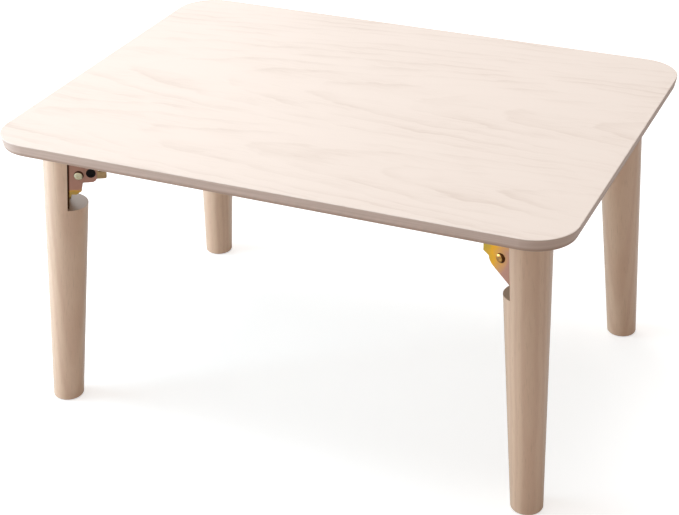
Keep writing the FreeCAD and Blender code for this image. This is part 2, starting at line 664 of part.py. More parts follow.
nodes = []
board_cutters = []
for name, side_x, side_y, pair in CORNERS:
    frame = corner_frame(side_x, side_y, pair)
    pivot = pivot_frame(frame, pair)
    along, across = leg_lean(frame, side_x, side_y)
    fork = fork_frame(pivot, along)

    nodes.append(leg("leg_" + name, frame, fork, along, across))
    nodes.append(leg_bracket("leg_bracket_" + name, fork))
    screws = [
        screw(f"leg_screw_{name}_{i}", "Sizes.leg_screw_length", fork * FreeCAD.Placement(p, INTO_LEG))
        for i, p in enumerate(leg_screw_places())
    ]
    nodes.append(group("leg_screws_" + name, screws))

    nodes.append(table_bracket("table_bracket_" + name, pivot))
    screws = []
    for i, place in enumerate(top_screw_places()):
        spot = pivot * FreeCAD.Placement(place, FreeCAD.Rotation())
        screws.append(screw(f"top_screw_{name}_{i}", "Sizes.top_screw_length", spot))
        bore = doc.addObject("Part::Cylinder", f"top_bore_{name}_{i}")
        bore.setExpression("Radius", "Sizes.screw_shank_radius + Sizes.screw_bore_gap")
        bore.setExpression("Height", "Sizes.top_screw_length + Sizes.screw_bore_gap")
        bore.Placement = spot
        board_cutters.append(bore)
    nodes.append(group("top_screws_" + name, screws))

    facing_away = pivot * FreeCAD.Placement(V(0, 0, 0), FreeCAD.Rotation(V(0, 0, 1), 180))
    rivets = [rivet(f"rivet_{name}_a", pivot), rivet(f"rivet_{name}_b", facing_away)]
    nodes.append(group("pivot_rivets_" + name, rivets))
    nodes.append(lock_lever("lock_lever_" + name, pivot))
    nodes.append(lever_bush("lever_bush_" + name, pivot))
    nodes.append(lever_spring("lever_spring_" + name, pivot))

# The screws run up through the lower sheet into the board between the two sheets
bores = doc.addObject("Part::MultiFuse", "top_bores")
bores.Shapes = board_cutters
drilled = doc.addObject("Part::Cut", "top_drilled")
drilled.Base = top_blank
drilled.Tool = bores
for label, low, thickness in (
    ("underside_veneer", UNDERSIDE, "Sizes.veneer_thickness"),
    ("panel_core", f"{UNDERSIDE} + Sizes.veneer_thickness", "Sizes.core_thickness"),
    ("top_veneer", "Sizes.table_height - Sizes.veneer_thickness", "Sizes.veneer_thickness"),
):
    layer = doc.addObject("Part::Box", label + "_layer")
    layer.setExpression("Length", "Sizes.top_length")
    layer.setExpression("Width", "Sizes.top_width")
    layer.setExpression("Height", thickness)
    layer.setExpression("Placement.Base.x", "-Sizes.top_length / 2")
    layer.setExpression("Placement.Base.y", "-Sizes.top_width / 2")
    layer.setExpression("Placement.Base.z", low)
    piece = doc.addObject("Part::Common", label)
    piece.Label = label
    piece.Base = drilled
    piece.Tool = layer
    nodes.append(piece)

doc.recompute()

# Every object must have been worked out, and every piece must be a sound solid
for item in doc.Objects:
    if "Invalid" in item.State or "Error" in item.State:
        raise RuntimeError(f"{item.Label} could not be worked out: {item.State}")
    if item.TypeId == "PartDesign::Pocket":
        removed = item.BaseFeature.Shape.Volume - item.Shape.Volume
        if removed < hair:
            raise RuntimeError(f"{item.Label} cuts nothing")
for node in nodes:
    if node.Shape.isNull() or not node.Shape.isValid() or not node.Shape.Solids:
        raise RuntimeError(f"{node.Label} is not a sound solid")

os.makedirs("parts", exist_ok=True)
for node in nodes:
    node.Shape.exportStep(os.path.join("parts", node.Label + ".step"))
    print(f"{node.Label}: {len(node.Shape.Solids)} solids, {node.Shape.Volume:.1f} mm3")
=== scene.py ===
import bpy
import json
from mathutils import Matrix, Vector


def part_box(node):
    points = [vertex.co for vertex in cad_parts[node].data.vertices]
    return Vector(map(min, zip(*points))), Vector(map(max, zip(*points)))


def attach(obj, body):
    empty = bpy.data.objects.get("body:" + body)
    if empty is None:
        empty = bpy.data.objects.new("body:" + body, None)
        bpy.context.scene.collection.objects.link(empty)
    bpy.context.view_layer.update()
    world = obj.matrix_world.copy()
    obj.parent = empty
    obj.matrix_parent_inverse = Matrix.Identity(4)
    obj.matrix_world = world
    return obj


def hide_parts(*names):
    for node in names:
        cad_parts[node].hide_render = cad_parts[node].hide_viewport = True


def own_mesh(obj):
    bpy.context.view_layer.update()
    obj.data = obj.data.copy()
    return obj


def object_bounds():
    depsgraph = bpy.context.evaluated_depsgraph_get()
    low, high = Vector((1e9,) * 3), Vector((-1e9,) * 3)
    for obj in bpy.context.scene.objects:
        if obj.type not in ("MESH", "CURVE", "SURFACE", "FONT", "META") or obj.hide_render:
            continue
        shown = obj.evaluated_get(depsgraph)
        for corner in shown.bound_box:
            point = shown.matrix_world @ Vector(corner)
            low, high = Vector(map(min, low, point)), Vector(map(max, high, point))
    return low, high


bl_info = {
    "name": "Folding Low Table",
    "version": (1, 0, 0),
    "blender": (4, 5, 0),
    "location": "3D View > Sidebar > Low Table",
    "description": "Finishes the packed folding low table and sets it in a plain studio",
    "category": "Object",
}

import json
import math
from collections import namedtuple

import bmesh
import bpy
from bpy.props import FloatProperty, FloatVectorProperty, IntProperty, PointerProperty
from bpy.types import Operator, Panel, PropertyGroup
from mathutils import Matrix, Vector

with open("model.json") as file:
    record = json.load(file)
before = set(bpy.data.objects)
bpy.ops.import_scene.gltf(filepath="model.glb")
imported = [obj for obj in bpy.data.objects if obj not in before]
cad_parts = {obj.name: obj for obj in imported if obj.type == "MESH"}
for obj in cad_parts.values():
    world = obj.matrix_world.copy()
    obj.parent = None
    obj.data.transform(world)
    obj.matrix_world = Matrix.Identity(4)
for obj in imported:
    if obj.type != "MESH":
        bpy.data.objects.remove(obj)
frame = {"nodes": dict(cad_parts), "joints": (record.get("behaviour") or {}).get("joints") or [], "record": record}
CAD_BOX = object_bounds()
MM = 0.001
TABLE_HEIGHT = round(CAD_BOX[1][2] / MM)  # in millimetres
LEG_LEAN = math.tan(math.radians(3.5))
UP = Vector((0, 0, 1))
CORNERS = ("front_left", "front_right", "back_right", "back_left")
JOINTS = {joint["name"]: joint for joint in frame["joints"]}
MOUNTS = {mount["name"]: mount for mount in frame["record"]["mounts"]}


def linear(code):
    """Turns an sRGB hex colour into the linear values that the shaders take."""
    shares = [int(code[k:k + 2], 16) / 255 for k in (1, 3, 5)]
    return tuple(c / 12.92 if c <= 0.04045 else ((c + 0.055) / 1.055) ** 2.4 for c in shares)


# Settings that a user may change
def colour(name, description, code):
    return FloatVectorProperty(name=name, description=description, subtype="COLOR", size=3,
                               min=0, max=1, default=linear(code))


def length(name, description, value):
    """A length setting whose default is given in millimetres."""
    return FloatProperty(name=name, description=description, subtype="DISTANCE", unit="LENGTH",
                         min=0, precision=5, default=value * MM)


def share(name, description, value):
    return FloatProperty(name=name, description=description, subtype="FACTOR", min=0, max=1,
                         default=value)


def power(name, description, watts):
    return FloatProperty(name=name, description=description, unit="POWER", min=0, default=watts)


# Places on the table, read from the joints and the feet
def pivot_frame(corner):
    """Frame of a bracket: X towards the middle, Y along the pin, Z up, at the leg's pivot."""
    joint = JOINTS["leg_hinge_" + corner]
    along_pin = -Vector(joint["axis"])
    inward = along_pin.cross(UP)
    axes = Matrix((inward, along_pin, UP)).transposed().to_4x4()
    return Matrix.Translation(joint["pos_m"]) @ axes


def fork_frame(corner):
    """The pivot frame leaned over to the flat that is cut on the leg."""
    lean = math.radians(JOINTS["leg_hinge_" + corner]["range_deg"][1] - 90)
    return pivot_frame(corner) @ Matrix.Rotation(lean, 4, "Y")


def leg_frame(corner):
    """Frame with its Z along the middle of a leg and its origin on the sole."""
    foot = Vector(MOUNTS["foot_" + corner]["pos_m"])
    upward = Vector((-math.copysign(LEG_LEAN, foot.x), -math.copysign(LEG_LEAN, foot.y), 1))
    return Matrix.Translation(foot) @ upward.to_track_quat("Z", "Y").to_matrix().to_4x4()


class TabletopLook(PropertyGroup):
    wash: colour("White wash", "Colour of the stained face between the grain lines", "#E9DBD2")
    grain: colour("Grain", "Colour of the late wood under the wash", "#D7C6BB")
    edge: colour("Edge", "Colour of the lacquered edge of the board", "#DBC0B3")
    edge_streak: colour("Edge streaks", "Colour of the thin layers that show there", "#D0B4A5")
    # Painted shade: the lower edge colour darkens the lower rounding where it turns away from the light
    lower_edge_shade: colour("Lower edge", "Colour of the coat at the lower rounding", "#A9826B")
    underside: colour("Underside", "Colour of the paper foil under the board", "#D6CABD")
    ring_width: length("Ring width", "Width of one year ring where the board cuts it", 12.0)


class LegLook(PropertyGroup):
    wood: colour("Wood", "Colour of the bleached wood between the pores", "#EDC8AB")
    ring: colour("Rings", "Colour of the darker late wood", "#E5BC9F")
    pore: colour("Pores", "Colour of the short open pores", "#CFA98A")
    # The end grain colour is partly the wood's own darker end grain and partly painted shade on the shoulders
    # under the top
    end_grain_and_shade: colour("End grain", "Colour where a cut runs across the fibres", "#C4A68E")
    ring_width: length("Ring width", "Width of one year ring", 6.0)


class HardwareLook(PropertyGroup):
    yellow: colour("Yellow film", "Thinnest passivation film on the zinc", "#C3A74D")
    gold: colour("Gold film", "Thin passivation film on the zinc", "#F4B53A")
    mauve: colour("Pink film", "Thicker passivation film on the zinc", "#C79585")
    brown: colour("Brown film", "Thickest passivation film on the zinc", "#A98973")
    haze: colour("Haze", "Old dull film of oil over the sheet", "#896150")
    cut: colour("Cut edge", "Film on the sheared edges of the sheet", "#857349")
    # Painted shade: this dark brown stands in for the shade in the bracket bends and round the rivet domes
    oil: colour("Oil", "Old oil in the bends and beside the rivets", "#45200B")
    lever: colour("Lever film", "Olive brown film of the lever", "#B7976E")
    rivet: colour("Rivet zinc", "Bright zinc with a faint yellow film", "#D3CFB2")
    rivet_gold: colour("Golden rivet", "Gold brown film on the front right leg's rivets", "#C9964F")
    screw: colour("Screw zinc", "Yellow film on the wood screws", "#DDB768")
    bush: colour("Bush", "Black moulded plastic of the bush", "#120B07")
    wire: colour("Spring wire", "Drawn steel wire", "#A9AAAC")
    rivet_radius: length("Rivet head", "Radius of the outer head of a pivot rivet", 5.0)
    rivet_height: length("Rivet dome", "Height of the outer head of a pivot rivet", 2.0)
    coil_radius: length("Spring coil", "Radius of a lever spring at the middle of its wire", 3.2)
    wire_radius: length("Spring wire", "Radius of the wire of a lever spring", 0.55)
    open_turns: IntProperty(name="Open turns", min=1, default=5,
                            description="Turns of a spring between its closed ends")


class StudioLook(PropertyGroup):
    floor: colour("Floor", "Colour of the pale floor", "#DDDDDE")
    floor_glow: share("Floor white", "Brightness that the camera sees added to the floor", 0.6)
    side_power: power("Side light", "Power of the low lamp at the left", 24)
    front_power: power("Front light", "Power of the lamp at the front left", 2.8)
    back_power: power("Back light", "Power of the lamp whose sheen lies on the top", 4.2)
    top_power: power("Top light", "Power of the large lamp overhead", 33)
    fill: share("Fill", "Light that comes from all round the table", 0.285)
    fill_tint: colour("Fill tint", "Colour of the light from all round, warmed by a pale room",
                      "#FFF1E2")


LOOKS = {
    "low_table_top": TabletopLook,
    "low_table_leg": LegLook,
    "low_table_hardware": HardwareLook,
    "low_table_studio": StudioLook,
}


# Shaders
# Settings that several nodes share
BLEND = {"data_type": "RGBA", "blend_type": "MIX"}
DARKEN = {"data_type": "RGBA", "blend_type": "MULTIPLY"}
SMOOTH = {"interpolation_type": "SMOOTHSTEP"}
LOCAL = {"vector_type": "TEXTURE"}
ADD, MULTIPLY, DIVIDE, MULTIPLY_ADD, ABSOLUTE, DOT_PRODUCT = (
    {"operation": name}
    for name in ("ADD", "MULTIPLY", "DIVIDE", "MULTIPLY_ADD", "ABSOLUTE", "DOT_PRODUCT"))
# Scale at which one ring of a Wave Texture is a metre wide
METRE_RINGS = 0.314


def millimetres(*lengths):
    """Turns millimetres into the metres that nodes and meshes take."""
    return tuple(value * MM for value in lengths)


def grey(value):
    return (value, value, value)


def start_material(name):
    """Makes a material and hands it back with its node tree and its Principled shader."""
    material = bpy.data.materials.new(name)
    material.use_nodes = True
    tree = material.node_tree
    return material, tree, tree.nodes["Principled BSDF"]


def add_node(tree, kind, settings=None, inputs=None, stops=()):
    """Adds a node with its settings, its values or links, and the places and colours of a ramp."""
    node = tree.nodes.new(kind)
    for name, value in (settings or {}).items():
        setattr(node, name, value)
    for key, value in (inputs or {}).items():
        socket = node.inputs[key]
        if isinstance(value, bpy.types.NodeSocket):
            tree.links.new(value, socket)
        else:
            socket.default_value = (*value, 1) if socket.type == "RGBA" else value
    if stops:
        elements = node.color_ramp.elements
        while len(elements) < len(stops):
            elements.new(0.5)
        for element, (place, tint) in zip(elements, stops):
            element.position = place
            element.color = (*tint, 1)
    return node


def frame_coordinates(tree, place):
    """Object coordinates as seen from a frame, in metres along its own axes."""
    source = add_node(tree, "ShaderNodeTexCoord")
    mapping = add_node(tree, "ShaderNodeMapping", LOCAL, {
        "Vector": source.outputs["Object"], "Location": place.translation,
        "Rotation": place.to_euler()})
    return mapping.outputs["Vector"]


def facing(tree, axis):
    """How squarely a surface faces along an axis, from -1 to 1."""
    source = add_node(tree, "ShaderNodeTexCoord")
    square = add_node(tree, "ShaderNodeVectorMath", DOT_PRODUCT, {
        0: source.outputs["Normal"], 1: axis.normalized()})
    return square.outputs["Value"]


def finish_node(name, material):
    """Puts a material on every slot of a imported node."""
    for slot in frame["nodes"][name].material_slots:
        slot.material = material


# The two logs whose rings arch over the top: in millimetres the middle of each across the table and
# its depth below the top face, and in degrees how far it tips and turns
LOGS = ((30, 96, 6.5, 3.0), (-128, 60, 5.5, 0.0))


# White-washed ash foil under satin lacquer: faint, wide arches of grain that open along the table.
# The pores are drawn 1.8 mm wide, since real ones of 0.3 mm would not show
def white_washed_ash(look):
    material, tree, shader = start_material("white_washed_ash_foil")
    spot = add_node(tree, "ShaderNodeTexCoord").outputs["Object"]
    drift = add_node(tree, "ShaderNodeVectorMath", DIVIDE, {0: spot, 1: millimetres(130, 48, 60)})
    wander = add_node(tree, "ShaderNodeTexNoise", inputs={
        "Vector": drift.outputs["Vector"], "Scale": 1.0, "Detail": 4.0, "Roughness": 0.62})
    shift = add_node(tree, "ShaderNodeVectorMath", MULTIPLY_ADD, {
        0: wander.outputs["Color"], 1: millimetres(0, 30, 12), 2: spot})
    rings = []
    for heart, depth, tilt, turn in LOGS:
        turned = add_node(tree, "ShaderNodeMapping", LOCAL, {
            "Vector": shift.outputs["Vector"],
            "Location": millimetres(-100, heart, TABLE_HEIGHT - depth),
            "Rotation": (0, -math.radians(tilt), math.radians(turn))})
        rings.append(add_node(
            tree, "ShaderNodeTexWave",
            {"wave_type": "RINGS", "rings_direction": "X", "wave_profile": "SAW"},
            {"Vector": turned.outputs["Vector"], "Scale": METRE_RINGS / look.ring_width,
             "Distortion": 2.2, "Detail": 3.0, "Detail Scale": 0.5}))
    parts = add_node(tree, "ShaderNodeSeparateXYZ", inputs={0: shift.outputs["Vector"]})
    which = add_node(tree, "ShaderNodeMapRange", SMOOTH, {
        "Value": parts.outputs["Y"], "From Min": -85 * MM, "From Max": -35 * MM})
    ring = add_node(tree, "ShaderNodeMix", inputs={
        0: which.outputs["Result"], 2: rings[1].outputs["Fac"], 3: rings[0].outputs["Fac"]})
    ring_line = add_node(
        tree, "ShaderNodeValToRGB", inputs={0: ring.outputs[0]},
        stops=((0.0, grey(0.1)), (0.55, grey(0.22)), (0.92, grey(1.0)), (1.0, grey(0.1))))
    fine = add_node(tree, "ShaderNodeVectorMath", DIVIDE, {
        0: shift.outputs["Vector"], 1: millimetres(26, 1.8, 4)})
    pores = add_node(tree, "ShaderNodeTexNoise", inputs={
        "Vector": fine.outputs["Vector"], "Scale": 1.0, "Detail": 2.0})
    pore_line = add_node(tree, "ShaderNodeValToRGB", inputs={0: pores.outputs["Fac"]},
                         stops=((0.45, grey(0.0)), (0.75, grey(1.0))))
    grain = add_node(tree, "ShaderNodeMix", BLEND, {
        0: 0.35, 6: ring_line.outputs["Color"], 7: pore_line.outputs["Color"]})
    wide = add_node(tree, "ShaderNodeVectorMath", DIVIDE, {0: spot, 1: millimetres(110, 34, 60)})
    patches = add_node(tree, "ShaderNodeTexNoise", inputs={
        "Vector": wide.outputs["Vector"], "Scale": 1.0, "Detail": 3.0})
    patchy = add_node(tree, "ShaderNodeValToRGB", inputs={0: patches.outputs["Fac"]},
                      stops=((0.4, grey(0.08)), (0.68, grey(1.0))))
    amount = add_node(tree, "ShaderNodeMix", DARKEN, {
        0: 1.0, 6: grain.outputs[2], 7: patchy.outputs["Color"]})
    tint = add_node(tree, "ShaderNodeMix", BLEND, {
        0: amount.outputs[2], 6: look.wash, 7: look.grain})
    tree.links.new(tint.outputs[2], shader.inputs["Base Color"])
    shader.inputs["Roughness"].default_value = 0.42
    shader.inputs["IOR"].default_value = 1.47
    relief = add_node(tree, "ShaderNodeBump", inputs={
        "Height": amount.outputs[2], "Distance": 0.012 * MM, "Strength": 1.0})
    tree.links.new(relief.outputs["Normal"], shader.inputs["Normal"])
    return material


# Lacquered board edge: a pale warm coat over thin layers, with painted shade browning it towards its lower
# rounding
def lacquered_edge(look):
    material, tree, shader = start_material("lacquered_board_edge")
    spot = add_node(tree, "ShaderNodeTexCoord").outputs["Object"]
    flat = add_node(tree, "ShaderNodeVectorMath", DIVIDE, {0: spot, 1: millimetres(70, 70, 1.6)})
    layers = add_node(tree, "ShaderNodeTexNoise", inputs={
        "Vector": flat.outputs["Vector"], "Scale": 1.0, "Detail": 2.0})
    coat = add_node(tree, "ShaderNodeValToRGB", inputs={0: layers.outputs["Fac"]},
                    stops=((0.35, look.edge), (0.7, look.edge_streak)))
    parts = add_node(tree, "ShaderNodeSeparateXYZ", inputs={0: spot})
    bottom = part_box("panel_core")[0][2]
    # Painted shade, darkest at the bottom of the edge and gone 4.5 mm above it
    lower = add_node(tree, "ShaderNodeMapRange", SMOOTH, {
        "Value": parts.outputs["Z"], "From Min": bottom + 0.5 * MM, "From Max": bottom + 4.5 * MM,
        "To Min": 0.75, "To Max": 0.0})
    tint = add_node(tree, "ShaderNodeMix", BLEND, {
        0: lower.outputs["Result"], 6: coat.outputs["Color"], 7: look.lower_edge_shade})
    tree.links.new(tint.outputs[2], shader.inputs["Base Color"])
    shader.inputs["Roughness"].default_value = 0.45
    return material


# Paper foil under the board: pale and matte, with a faint printed grain
def underside_foil(look):
    material, tree, shader = start_material("printed_paper_foil")
    spot = add_node(tree, "ShaderNodeTexCoord").outputs["Object"]
    fine = add_node(tree, "ShaderNodeVectorMath", DIVIDE, {0: spot, 1: millimetres(60, 1.6, 3)})
    grain = add_node(tree, "ShaderNodeTexNoise", inputs={
        "Vector": fine.outputs["Vector"], "Scale": 1.0, "Detail": 3.0})
    tint = add_node(tree, "ShaderNodeValToRGB", inputs={0: grain.outputs["Fac"]},
                    stops=((0.35, look.underside), (0.75, [0.86 * c for c in look.underside])))
    tree.links.new(tint.outputs["Color"], shader.inputs["Base Color"])
    shader.inputs["Roughness"].default_value = 0.6
    return material


# Bleached rubberwood, turned and lacquered: straight grain along the leg with short pores.
# The pores are drawn 0.9 mm wide, since real ones of 0.3 mm would not show
def lacquered_rubberwood(look, corner):
    material, tree, shader = start_material("lacquered_rubberwood_" + corner)
    upright = leg_frame(corner)
    # Each leg is turned another way about its middle, so that no two show the same grain
    turn = Matrix.Rotation(math.radians(67 * CORNERS.index(corner)), 4, "Z")
    spot = frame_coordinates(tree, upright @ turn)
    drift = add_node(tree, "ShaderNodeVectorMath", DIVIDE, {0: spot, 1: millimetres(30, 30, 160)})
    wander = add_node(tree, "ShaderNodeTexNoise", inputs={
        "Vector": drift.outputs["Vector"], "Scale": 1.0, "Detail": 2.0})
    shift = add_node(tree, "ShaderNodeVectorMath", MULTIPLY_ADD, {
        0: wander.outputs["Color"], 1: millimetres(9, 9, 0), 2: spot})
    pith = add_node(tree, "ShaderNodeMapping", LOCAL, {
        "Vector": shift.outputs["Vector"], "Location": millimetres(46, 8, 0),
        "Rotation": (0, math.radians(1.5), 0)})
    rings = add_node(
        tree, "ShaderNodeTexWave",
        {"wave_type": "RINGS", "rings_direction": "Z", "wave_profile": "SIN"},
        {"Vector": pith.outputs["Vector"], "Scale": METRE_RINGS / look.ring_width,
         "Distortion": 0.8, "Detail": 2.0, "Detail Scale": 0.5})
    ring_line = add_node(tree, "ShaderNodeValToRGB", inputs={0: rings.outputs["Fac"]},
                         stops=((0.3, grey(0.0)), (0.95, grey(0.7))))
    fine = add_node(tree, "ShaderNodeVectorMath", DIVIDE, {0: spot, 1: millimetres(0.9, 0.9, 14)})
    pores = add_node(tree, "ShaderNodeTexNoise", inputs={
        "Vector": fine.outputs["Vector"], "Scale": 1.0, "Detail": 2.0})
    pore_line = add_node(tree, "ShaderNodeValToRGB", inputs={0: pores.outputs["Fac"]},
                         stops=((0.56, grey(0.0)), (0.76, grey(0.5))))
    wood = add_node(tree, "ShaderNodeMix", BLEND, {
        0: ring_line.outputs["Color"], 6: look.wood, 7: look.ring})
    lines = add_node(tree, "ShaderNodeMix", BLEND, {
        0: pore_line.outputs["Color"], 6: wood.outputs[2], 7: look.pore})
    # Faces across the leg take the end grain colour, partly its real tone and partly painted shade
    across = add_node(tree, "ShaderNodeMapRange", inputs={
        "Value": facing(tree, upright.col[2].to_3d()), "From Min": 0.8, "From Max": 0.95})
    tint = add_node(tree, "ShaderNodeMix", BLEND, {
        0: across.outputs["Result"], 6: lines.outputs[2], 7: look.end_grain_and_shade})
    tree.links.new(tint.outputs[2], shader.inputs["Base Color"])
    shader.inputs["Roughness"].default_value = 0.5
    shader.inputs["Coat Weight"].default_value = 1.0
    shader.inputs["Coat Roughness"].default_value = 0.25
    relief = add_node(tree, "ShaderNodeBump", inputs={
        "Height": pore_line.outputs["Color"], "Distance": -0.04 * MM, "Strength": 1.0})
    tree.links.new(relief.outputs["Normal"], shader.inputs["Normal"])
    return material


# How the film runs over the brackets at a corner: its thickness at the pivot, its change over 10 mm
# inward and upward, how much thinner it drained at the foot of a cheek, how much painted shade darkens
# the bend, and how dull it is
Film = namedtuple("Film", "start inward upward drained oily dull")
FILMS = {
    "front_left": Film(0.52, 0.02, 0.03, 0.54, 0.94, 0.45),
    "front_right": Film(0.28, -0.19, -0.05, 0.0, 0.2, 0.0),
    "back_right": Film(0.4, -0.1, 0.04, 0.2, 0.6, 0.2),
    "back_left": Film(0.35, -0.15, -0.06, 0.1, 0.4, 0.1),
}

# Where the film changes, in metres in the frame of a bracket: the heights between which it thins
# towards the foot of a cheek, and the distance from the middle past which the sheet is a wall
FOOT_END, FOOT_START, WALL_START = millimetres(-16, -12.5, 18.4)
# The places between which the painted shade in the bend ends on the inner side, and the distances from
# the middle between which it deepens
BEND_START, BEND_END, CREASE_START, CREASE_END = millimetres(-10, -9, 13, 17.5)


# Pressed sheet, zinc plated and passivated: the film shifts from yellow to pink where it is thicker
def passivated_sheet(look, name, corner, place):
    material, tree, shader = start_material(name + "_" + corner)
    film = FILMS[corner]
    spot = frame_coordinates(tree, place)
    parts = add_node(tree, "ShaderNodeSeparateXYZ", inputs={0: spot})
    wide = add_node(tree, "ShaderNodeVectorMath", DIVIDE, {0: spot, 1: millimetres(16, 30, 13)})
    clouds = add_node(tree, "ShaderNodeTexNoise", inputs={
        "Vector": wide.outputs["Vector"], "Scale": 1.0, "Detail": 2.0, "Distortion": 0.4})
    slope = add_node(tree, "ShaderNodeVectorMath", DOT_PRODUCT, {
        0: spot, 1: (0.1 * film.inward / MM, 0, 0.1 * film.upward / MM)})
    uneven = add_node(tree, "ShaderNodeMath", MULTIPLY_ADD, {
        0: clouds.outputs["Fac"], 1: 6 * MM, 2: parts.outputs["Z"]})
    foot = add_node(tree, "ShaderNodeMapRange", SMOOTH, {
        "Value": uneven.outputs[0], "From Min": FOOT_END, "From Max": FOOT_START,
        "To Min": film.start - film.drained, "To Max": film.start})
    run = add_node(tree, "ShaderNodeMath", ADD, {
        0: slope.outputs["Value"], 1: foot.outputs["Result"]})
    thickness = add_node(tree, "ShaderNodeMath", MULTIPLY_ADD, {
        0: clouds.outputs["Fac"], 1: 0.3, 2: run.outputs[0]})
    sheen = add_node(
        tree, "ShaderNodeValToRGB", inputs={0: thickness.outputs[0]},
        stops=((0.02, look.yellow), (0.28, look.gold), (0.6, look.mauve), (0.9, look.brown)))
    dulled = add_node(tree, "ShaderNodeMix", BLEND, {
        0: film.dull, 6: sheen.outputs["Color"], 7: look.haze})
    side = add_node(tree, "ShaderNodeMath", ABSOLUTE, {0: parts.outputs["Y"]})
    wall = add_node(tree, "ShaderNodeMath", {"operation": "GREATER_THAN"}, {
        0: side.outputs[0], 1: WALL_START})
    squarely = add_node(tree, "ShaderNodeMath", ABSOLUTE, {0: facing(tree, place.col[1].to_3d())})
    sheared = add_node(tree, "ShaderNodeMapRange", inputs={
        "Value": squarely.outputs[0], "From Min": 0.3, "From Max": 0.8,
        "To Min": 1.0, "To Max": 0.0})
    rim = add_node(tree, "ShaderNodeMath", MULTIPLY, {
        0: wall.outputs[0], 1: sheared.outputs["Result"]})
    edged = add_node(tree, "ShaderNodeMix", BLEND, {
        0: rim.outputs[0], 6: dulled.outputs[2], 7: look.cut})
    # Painted shade: the bend beside the leg is laid dark brown and not metallic, standing in for the leg's shadow
    # there
    bend = add_node(tree, "ShaderNodeMapRange", inputs={
        "Value": parts.outputs["X"], "From Min": BEND_START, "From Max": BEND_END,
        "To Min": film.oily, "To Max": 0.0})
    beside = add_node(tree, "ShaderNodeMapRange", SMOOTH, {
        "Value": side.outputs[0], "From Min": CREASE_START, "From Max": CREASE_END})
    bend_shade_mask = add_node(tree, "ShaderNodeMath", MULTIPLY, {
        0: bend.outputs["Result"], 1: beside.outputs["Result"]})
    tint = add_node(tree, "ShaderNodeMix", BLEND, {
        0: bend_shade_mask.outputs[0], 6: edged.outputs[2], 7: look.oil})
    tree.links.new(tint.outputs[2], shader.inputs["Base Color"])
    unshaded_metal = add_node(tree, "ShaderNodeMapRange", inputs={
        "Value": bend_shade_mask.outputs[0], "From Min": 0.3, "From Max": 0.9, "To Min": 1.0, "To Max": 0.0})
    tree.links.new(unshaded_metal.outputs["Result"], shader.inputs["Metallic"])
    shader.inputs["Specular IOR Level"].default_value = 0.05
    close = add_node(tree, "ShaderNodeVectorMath", DIVIDE, {0: spot, 1: millimetres(1.2, 1.2, 1.2)})
    scuffs = add_node(tree, "ShaderNodeTexNoise", inputs={
        "Vector": close.outputs["Vector"], "Scale": 1.0, "Detail": 3.0})
    rough = add_node(tree, "ShaderNodeMapRange", inputs={
        "Value": scuffs.outputs["Fac"], "To Min": 0.28, "To Max": 0.46})
    tree.links.new(rough.outputs["Result"], shader.inputs["Roughness"])
    return material


# The round patch of a rivet's head left free of the painted shade crescent: its middle, inward and upward, in mm
UNSHADED_PATCHES = {
    "front_left": (-0.7, -1.0),
    "front_right": (1.9, -0.5),
    "back_right": (-0.7, -0.9),
    "back_left": (1.2, -0.8),
}


# Headed zinc-plated steel: bright, with a painted dark crescent of shade against one side of the dome
def headed_steel(look, corner):
    material, tree, shader = start_material("headed_zinc_rivet_" + corner)
    spot = frame_coordinates(tree, pivot_frame(corner))
    close = add_node(tree, "ShaderNodeVectorMath", DIVIDE, {0: spot, 1: millimetres(3, 3, 3)})
    clouds = add_node(tree, "ShaderNodeTexNoise", inputs={
        "Vector": close.outputs["Vector"], "Scale": 1.0, "Detail": 2.0})
    zinc = look.rivet_gold if corner == "front_right" else look.rivet
    thicker = [0.5 * (a + b) for a, b in zip(zinc, look.lever)]
    sheen = add_node(tree, "ShaderNodeValToRGB", inputs={0: clouds.outputs["Fac"]},
                     stops=((0.35, zinc), (0.65, thicker)))
    level = add_node(tree, "ShaderNodeVectorMath", MULTIPLY, {0: spot, 1: (1, 0, 1)})
    inward, upward = millimetres(*UNSHADED_PATCHES[corner])
    reach = add_node(tree, "ShaderNodeVectorMath", {"operation": "DISTANCE"}, {
        0: level.outputs["Vector"], 1: (inward, 0, upward)})
    # Painted shade: outside the patch the head turns dark brown, a crescent standing in for shade
    oily = add_node(tree, "ShaderNodeMapRange", SMOOTH, {
        "Value": reach.outputs["Value"], "From Min": 4.2 * MM, "From Max": 4.9 * MM,
        "To Max": 0.95})
    tint = add_node(tree, "ShaderNodeMix", BLEND, {
        0: oily.outputs["Result"], 6: sheen.outputs["Color"], 7: look.oil})
    tree.links.new(tint.outputs[2], shader.inputs["Base Color"])
    shader.inputs["Metallic"].default_value = 1.0
    shader.inputs["Roughness"].default_value = 0.27
    return material


# Plated or drawn steel in one colour, a little uneven
def plated_steel(name, tint, roughness):
    material, tree, shader = start_material(name)
    spot = add_node(tree, "ShaderNodeTexCoord").outputs["Object"]
    close = add_node(tree, "ShaderNodeVectorMath", DIVIDE, {0: spot, 1: millimetres(5, 5, 5)})
    clouds = add_node(tree, "ShaderNodeTexNoise", inputs={
        "Vector": close.outputs["Vector"], "Scale": 1.0, "Detail": 2.0})
    sheen = add_node(tree, "ShaderNodeValToRGB", inputs={0: clouds.outputs["Fac"]},
                     stops=((0.35, tint), (0.7, [0.72 * c for c in tint])))
    tree.links.new(sheen.outputs["Color"], shader.inputs["Base Color"])
    shader.inputs["Metallic"].default_value = 1.0
    shader.inputs["Roughness"].default_value = roughness
    return material


